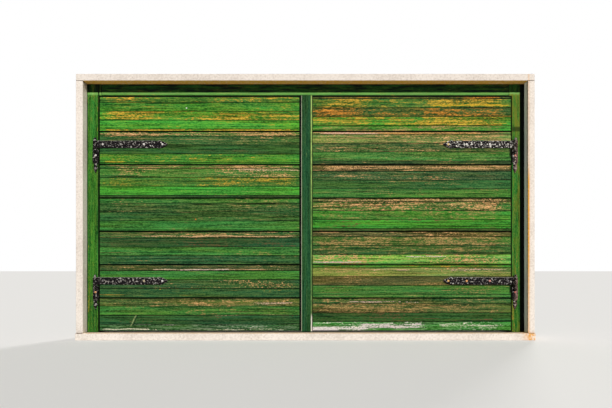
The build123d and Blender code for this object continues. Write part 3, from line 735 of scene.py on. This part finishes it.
# Stone: heights and depths are in metres, and Y grows from the face towards the room
stoneLook = {
    "face": "f3e8dc", "grey": "dacdc0", "greyRange": (0.30, 0.80), "specks": "8f7a60", "soffitWarmLight": "e4aa48",
    "sillTop": "e6c096", "joint": "4a3826", "lichen": "e69c0c", "corner": "6b5236", "shadeAndGrime": "0b0e08",
    "damp": "5c5a3c", "coolShadeTint": "eef6f4", "roughness": 0.85, "specular": 0.1, "relief": (0.0007, 0.7),
    "cloud": ((9.0, 9.0, 9.0), 4.0), "mottle": ((115.0, 115.0, 115.0), 4.0, 2.0),
    "pits": ((260.0, 260.0, 260.0), 3.0, 4.0),
    "tone": {"pits": 0.25, "cloud": 0.30, "mottle": 0.45}, "height": {"mottle": 0.6, "pits": 0.4},
    "speckPits": (0.80, 0.95), "speckMottle": (0.45, 0.7), "speckShare": 0.6,
    "lintelStep": 0.001, "lintelShade": 0.93, "behindFace": (0.0004, 0.0015), "surface": (0.0005, 0.0010),
    "soffitWarmLightShare": (0.05, 0.6, 0.65, 1.0), "ledgeDepth": (-0.020, 0.010, 1.0, 0.25),
    "ledgeShare": (0.1, 0.7, 0.35, 0.85), "footDepth": (-0.016, 0.021, 0.004), "footDark": 0.97,
    "lintelJoint": (0.0008, 0.0012), "sillJoint": (0.0006, 0.0010), "jointShare": 0.8, "jambEdge": 0.001,
    "cornerUp": (1.075, 1.150), "cornerShare": (0.2, 0.7, 0.4, 1.0), "cornerDark": 0.7,
    "rightHalf": (0.0, 0.1), "coolShadeDepth": (-0.066, -0.046), "coolShadeShare": 0.9,
    "dampDepth": (-0.070, -0.044, 0.72, 0.0), "dampShare": (0.1, 0.7, 0.6, 1.0),
    "revealShadowDepth": (-0.0275, -0.0235), "stainReach": (0.003, 0.012), "stainUp": (0.69, 0.80, 1.0, 0.30),
    "stainDown": (0.05, 0.45, 0.55, 1.0), "stainShare": (0.05, 0.6, 0.75, 1.0),
    "sillStainAcross": (0.940, 0.995), "sillStainUp": (0.010, -0.006),
    "sillStainTone": (0.25, 0.65, 0.15, 1.0), "sillStainShare": 0.85,
}
look = stoneLook
limestone, w, shader, place = newMaterial("limestone")
x, y, z = w.axes(place)
grains = {part: grain(w, place, *look[part]) for part in ("cloud", "mottle", "pits")}
mottle, pits = grains["mottle"], grains["pits"]
tone = w.weighed(grains, look["tone"])
stone = w.blend(w.spread(tone, *look["greyRange"]), look["face"], look["grey"])
specks = w.times(w.spread(pits, *look["speckPits"]), w.spread(mottle, *look["speckMottle"]),
                 look["speckShare"])
stone = w.blend(specks, stone, look["specks"])
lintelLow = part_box("stone_lintel")[0]
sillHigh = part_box("stone_sill")[1]
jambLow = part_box("stone_jamb_right")[0]
# the lintel's face is painted a little darker than the jambs, as painted shade
lintelTop = lintelLow.z + look["lintelStep"]
stone = w.tint(stone, w.spread(z, lintelLow.z, lintelTop, 1.0, look["lintelShade"]))
# where a place is: behind the face, on the jambs' inner sides or beyond them, on the sill, on the right
behindFace = w.spread(y, *[lintelLow.y + depth for depth in look["behindFace"]])
onFace = w.math("SUBTRACT", 1.0, behindFace)
fromMiddle = w.math("ABSOLUTE", x)
outside = w.spread(fromMiddle, jambLow.x - look["jambEdge"], jambLow.x)
reveal = w.times(w.near(fromMiddle, jambLow.x, *look["surface"]), behindFace)
onSill = w.near(z, sillHigh.z, *look["surface"])
onRight = w.spread(x, *look["rightHalf"])
# the lintel's underside painted golden as warm reflected light, the sill's top, and a dark line along the
# timber's foot
soffitWarmLight = w.times(w.near(z, lintelLow.z, *look["surface"]), behindFace, w.spread(mottle, *look["soffitWarmLightShare"]))
stone = w.blend(soffitWarmLight, stone, look["soffitWarmLight"])
ledge = w.times(onSill, w.spread(y, *look["ledgeDepth"]), w.spread(mottle, *look["ledgeShare"]))
stone = w.blend(ledge, stone, look["sillTop"])
stone = w.blend(w.times(onSill, w.near(y, *look["footDepth"]), look["footDark"]), stone, look["shadeAndGrime"])
joint = w.most(w.near(z, lintelLow.z, *look["lintelJoint"]), w.near(z, sillHigh.z, *look["sillJoint"]))
stone = w.blend(w.times(joint, outside, look["jointShare"]), stone, look["joint"])
# a brown darkening high in the corners of the recess
corner = w.times(w.spread(z, *look["cornerUp"]), reveal, w.spread(mottle, *look["cornerShare"]),
                 look["cornerDark"])
stone = w.blend(corner, stone, look["corner"])
# the right reveal is painted black against the timber as the jamb's painted shadow, damp towards the face,
# and between them a pale cool tint painted as the light in its shade
rightReveal = w.times(reveal, onRight)
# a pale cool tint painted as the light in the reveal's shade
coolShadeTint = w.times(w.spread(y, *look["coolShadeDepth"]), rightReveal, look["coolShadeShare"])
stone = w.blend(coolShadeTint, stone, look["coolShadeTint"])
damp = w.times(w.spread(y, *look["dampDepth"]), rightReveal, w.spread(mottle, *look["dampShare"]))
stone = w.blend(damp, stone, look["damp"])
stone = w.blend(w.times(w.spread(y, *look["revealShadowDepth"]), rightReveal), stone, look["shadeAndGrime"])
# orange lichen down the right jamb's inner edge and over the sill's right corner
edgeStain = w.times(w.fall(x, *[jambLow.x + reach for reach in look["stainReach"]]), outside, onRight, onFace,
                    w.spread(z, *look["stainUp"]), w.spread(z, *look["stainDown"]),
                    w.spread(mottle, *look["stainShare"]))
stone = w.blend(edgeStain, stone, look["lichen"])
sillStain = w.times(w.spread(x, *look["sillStainAcross"]), look["sillStainShare"],
                    w.spread(z, *[sillHigh.z + height for height in look["sillStainUp"]]),
                    w.spread(tone, *look["sillStainTone"]))
stone = w.blend(sillStain, stone, look["lichen"])
w.give(shader, Base_Color=stone, Roughness=look["roughness"], Specular_IOR_Level=look["specular"],
       Normal=w.bump(w.weighed(grains, look["height"]), *look["relief"]))
for node in ("stone_sill", "stone_lintel", "stone_jamb_left", "stone_jamb_right"):
    cover(node, limestone)
print("stone finished")


# Iron: black scale worn bright on the ridges, and painted bright along the straps' upper edges as wear and
# painted highlight
ironLook = {
    "dark": "0c0b0e", "brown": "1f1a1b", "scale": (0.3, 0.8), "worn": "d4d2c6", "pinkish": "989088",
    "rust": "86685e", "dents": ((120.0, 120.0, 135.0), 3.0), "rough": ((330.0, 330.0, 330.0), 2.0, 6.0),
    "wornField": {"dents": 0.7, "rough": 0.3}, "wornRange": (0.57, 0.80),
    "lostMoreAcross": (0.50, 0.60), "lostMoreUp": (0.60, 0.70), "lostMore": 0.06,
    "edge": (0.0022, 0.0012), "edgeShare": (0.3, 0.7, 0.2, 0.8),
    "rustAcross": (0.929, 0.951), "rustField": {"dents": 0.6, "rough": 0.4}, "rustRange": (0.35, 0.60),
    "roughness": (0.62, 0.42), "metallic": (0.0, 0.7), "specular": 0.05,
    "height": {"dents": 0.8, "rough": 0.2}, "relief": (0.0014, 0.9),
}
look = ironLook
strapTops = [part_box("strap_left_upper")[1].z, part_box("strap_left_lower")[1].z]
blackIron, w, shader, place = newMaterial("blackIron")
x, y, z = w.axes(place)
grains = {part: grain(w, place, *look[part]) for part in ("dents", "rough")}
rough = grains["rough"]
# the upper right hinge has lost more of its black
lostMore = w.times(w.spread(x, *look["lostMoreAcross"]), w.spread(z, *look["lostMoreUp"]), look["lostMore"])
worn = w.spread(w.math("ADD", w.weighed(grains, look["wornField"]), lostMore), *look["wornRange"])
# the straps' upper edges painted bright, as wear and painted highlight
edges = w.most(*[w.near(z, top, *look["edge"]) for top in strapTops])
worn = w.most(worn, w.times(edges, w.spread(rough, *look["edgeShare"])))
# the right hinges' pins and plates are rusty
rusty = w.times(w.spread(x, *look["rustAcross"]),
                w.spread(w.weighed(grains, look["rustField"]), *look["rustRange"]))
scale = w.blend(w.spread(rough, *look["scale"]), look["dark"], look["brown"])
iron = w.blend(worn, scale, w.blend(rough, look["worn"], look["pinkish"]))
w.give(shader, Base_Color=w.blend(rusty, iron, look["rust"]), Specular_IOR_Level=look["specular"],
       Roughness=w.spread(worn, 0.0, 1.0, *look["roughness"], smooth=False),
       Metallic=w.spread(worn, 0.0, 1.0, *look["metallic"], smooth=False),
       Normal=w.bump(w.weighed(grains, look["height"]), *look["relief"]))

# nail heads: pale where they are still zinced, and rusted one by one, by x and z
nailLook = {
    "zinc": "e9e3de", "grey": "9a8f88", "greyRange": (0.3, 0.9), "spots": ((500.0, 500.0, 500.0), 2.0),
    "reach": (0.008, 0.009), "rustShare": (0.1, 0.7, 0.7, 1.0), "roughness": (0.35, 0.65), "metallic": 0.25,
    "relief": (0.0005, 0.6),
    "rusted": [
        (0.6403, 0.259, "e0a844"), (0.7229, 0.259, "d98f30"), (0.8266, 0.259, "c47a66"),
        (0.6403, 0.871, "d8ae62"), (0.94, 0.209, "a8402c"), (0.94, 0.821, "b0583c"),
        (-0.94, 0.209, "d08a48"), (0.94, 0.151, "7a6a60"), (-0.9076, 0.259, "4a4846"),
        (-0.8266, 0.259, "6a6660"), (-0.7229, 0.259, "a89870"), (-0.8266, 0.871, "77736c"),
        (0.9076, 0.259, "3a3638"), (0.9076, 0.871, "989088"), (-0.94, 0.151, "6a625e"),
        (-0.94, 0.763, "6a625e"), (0.94, 0.763, "7a6a60"),
    ],
}
nailSteel, w, shader, place = newMaterial("nailSteel")
spots = grain(w, place, *nailLook["spots"])
nail = w.blend(w.spread(spots, *nailLook["greyRange"]), nailLook["zinc"], nailLook["grey"])
flat = w.vectorMath("MULTIPLY", place, Vector((1, 0, 1)))["Vector"]
rustShare = w.spread(spots, *nailLook["rustShare"])
for x, z, rust in nailLook["rusted"]:
    away = w.vectorMath("DISTANCE", flat, Vector((x, 0, z)))["Value"]
    nail = w.blend(w.times(w.fall(away, *nailLook["reach"]), rustShare), nail, rust)
w.give(shader, Base_Color=nail, Metallic=nailLook["metallic"], Normal=w.bump(spots, *nailLook["relief"]),
       Roughness=w.spread(spots, 0.0, 1.0, *nailLook["roughness"], smooth=False))


# The straps and pintles as the hammer left them: shallow bowls with ridges between, and wavering edges
forgeLook = {
    "merge": 0.00001, "longest": 0.0030, "passes": 8, "axis": 0.94, "seat": 0.0006, "boreReach": 0.0072,
    "bowl": 0.011, "depth": 0.00055, "bowlLevel": 0.45, "ripple": 0.00018, "ripplesEach": 420.0, "sharp": 38,
}


def hammered(nodeName):
    look, source = forgeLook, nodes[nodeName]
    mesh = source.data.copy()
    mesh.name = nodeName + "Forged"
    piece = bpy.data.objects.new(mesh.name, mesh)
    bpy.context.scene.collection.objects.link(piece)
    work = bmesh.new()
    work.from_mesh(mesh)
    bmesh.ops.remove_doubles(work, verts=work.verts, dist=look["merge"])
    bmesh.ops.dissolve_degenerate(work, edges=work.edges, dist=look["merge"])
    bmesh.ops.triangulate(work, faces=work.faces)
    for _ in range(look["passes"]):
        tooLong = [e for e in work.edges if e.calc_length() > look["longest"]]
        if not tooLong:
            break
        bmesh.ops.subdivide_edges(work, edges=tooLong, cuts=1)
        bmesh.ops.triangulate(work, faces=work.faces)
    work.normal_update()
    axisX = math.copysign(look["axis"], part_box(nodeName)[0].x)
    pinLow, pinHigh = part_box("hinge_pins")
    axisY = (pinLow.y + pinHigh.y) / 2
    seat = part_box(nodeName)[1].y - look["seat"]
    for vert in work.verts:
        spot = vert.co
        if spot.y > seat or math.hypot(spot.x - axisX, spot.y - axisY) < look["boreReach"]:
            continue   # the seat on the timber and the bore for the pin stay true
        reach = noise.voronoi(spot / look["bowl"])[0][0]
        ripple = noise.noise(spot * look["ripplesEach"]) * look["ripple"]
        vert.co = spot + vert.normal * (look["depth"] * (min(reach, 1.0) ** 2 - look["bowlLevel"]) + ripple)
    work.to_mesh(mesh)
    work.free()
    mesh.validate()
    for polygon in mesh.polygons:
        polygon.use_smooth = True
    mesh.set_sharp_from_angle(angle=math.radians(look["sharp"]))
    mesh.materials.clear()
    mesh.materials.append(blackIron)
    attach(piece, body_of(source)[0])
    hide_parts(nodeName)


for side in sideNames:
    for level in levelNames:
        hammered(f"strap_{side}_{level}")
        hammered(f"pintle_{side}_{level}")
for node in ("strap_nails_left", "strap_nails_right", "pintle_nails"):
    cover(node, nailSteel)
for node in ("hinge_pins", "turning_hook", "hook_pivot", "hook_stud", "batten_nails_left",
             "batten_nails_right", "post_spikes", "head_spikes"):
    cover(node, blackIron)
print("iron finished")


# Floor, backdrop, light and camera
stageLook = {
    "floorSize": 60.0, "floor": "d6d4d0", "floorRoughness": 0.9, "floorGlow": 0.16, "fill": 0.15,
    "suns": {   # strength, width, degrees round from the front and degrees above the floor
        "key": (3.05, 2.0, 19.5, 37.0), "back": (1.2, 12.0, 155.0, 34.0),
    },
}


def seenShare(w):
    # 1 where the camera sees a thing, by itself or through a shine or glass, and 0 for its light
    rays = w.add("ShaderNodeLightPath").outputs
    mirrored = w.math("ADD", rays["Is Glossy Ray"], rays["Is Transmission Ray"])
    return w.math("ADD", rays["Is Camera Ray"], mirrored, clamp=True)


floorMesh = bpy.data.meshes.new("floor")
half = stageLook["floorSize"] / 2
floorCorners = [(-half, -half, 0), (half, -half, 0), (half, half, 0), (-half, half, 0)]
floorMesh.from_pydata(floorCorners, [], [(0, 1, 2, 3)])
floor = bpy.data.objects.new("floor", floorMesh)
bpy.context.scene.collection.objects.link(floor)
floorPaint, w, shader, place = newMaterial("floorPaint")
w.give(shader, Base_Color=stageLook["floor"], Roughness=stageLook["floorRoughness"], Specular_IOR_Level=0.0,
       Emission_Color="ffffff", Emission_Strength=w.times(seenShare(w), stageLook["floorGlow"]))
floorMesh.materials.append(floorPaint)


def addSun(name, strength, width, turn, rise):
    data = bpy.data.lights.new(name, "SUN")
    data.energy = strength
    data.angle = math.radians(width)
    lamp = bpy.data.objects.new(name, data)
    bpy.context.scene.collection.objects.link(lamp)
    turn, rise = math.radians(turn), math.radians(rise)
    towards = Vector((math.sin(turn) * math.cos(rise), -math.cos(turn) * math.cos(rise), math.sin(rise)))
    lamp.rotation_euler = towards.to_track_quat("Z", "Y").to_euler()


for name, settings in stageLook["suns"].items():
    addSun(name, *settings)

world = bpy.data.worlds.new("studio")
bpy.context.scene.world = world
world.use_nodes = True
w = Wiring(world.node_tree)
w.give(world.node_tree.nodes["Background"], Color="ffffff",
       Strength=w.spread(seenShare(w), 0.0, 1.0, stageLook["fill"], 1.0, smooth=False))

cameraLook = {"place": (0.003, -2.658, 0.329), "focalPixels": 588.0, "width": 612.0,
              "horizonBelowMiddle": 61.3, "sensor": 36.0}
cameraData = bpy.data.cameras.new("camera")
cameraData.sensor_width = cameraLook["sensor"]
cameraData.lens = cameraLook["sensor"] * cameraLook["focalPixels"] / cameraLook["width"]
cameraData.shift_y = cameraLook["horizonBelowMiddle"] / cameraLook["width"]
camera = bpy.data.objects.new("camera", cameraData)
bpy.context.scene.collection.objects.link(camera)
camera.location = cameraLook["place"]
camera.rotation_euler = (math.pi / 2, 0, 0)
bpy.context.scene.camera = camera
bpy.context.scene.view_settings.view_transform = "Standard"
print("studio set up")
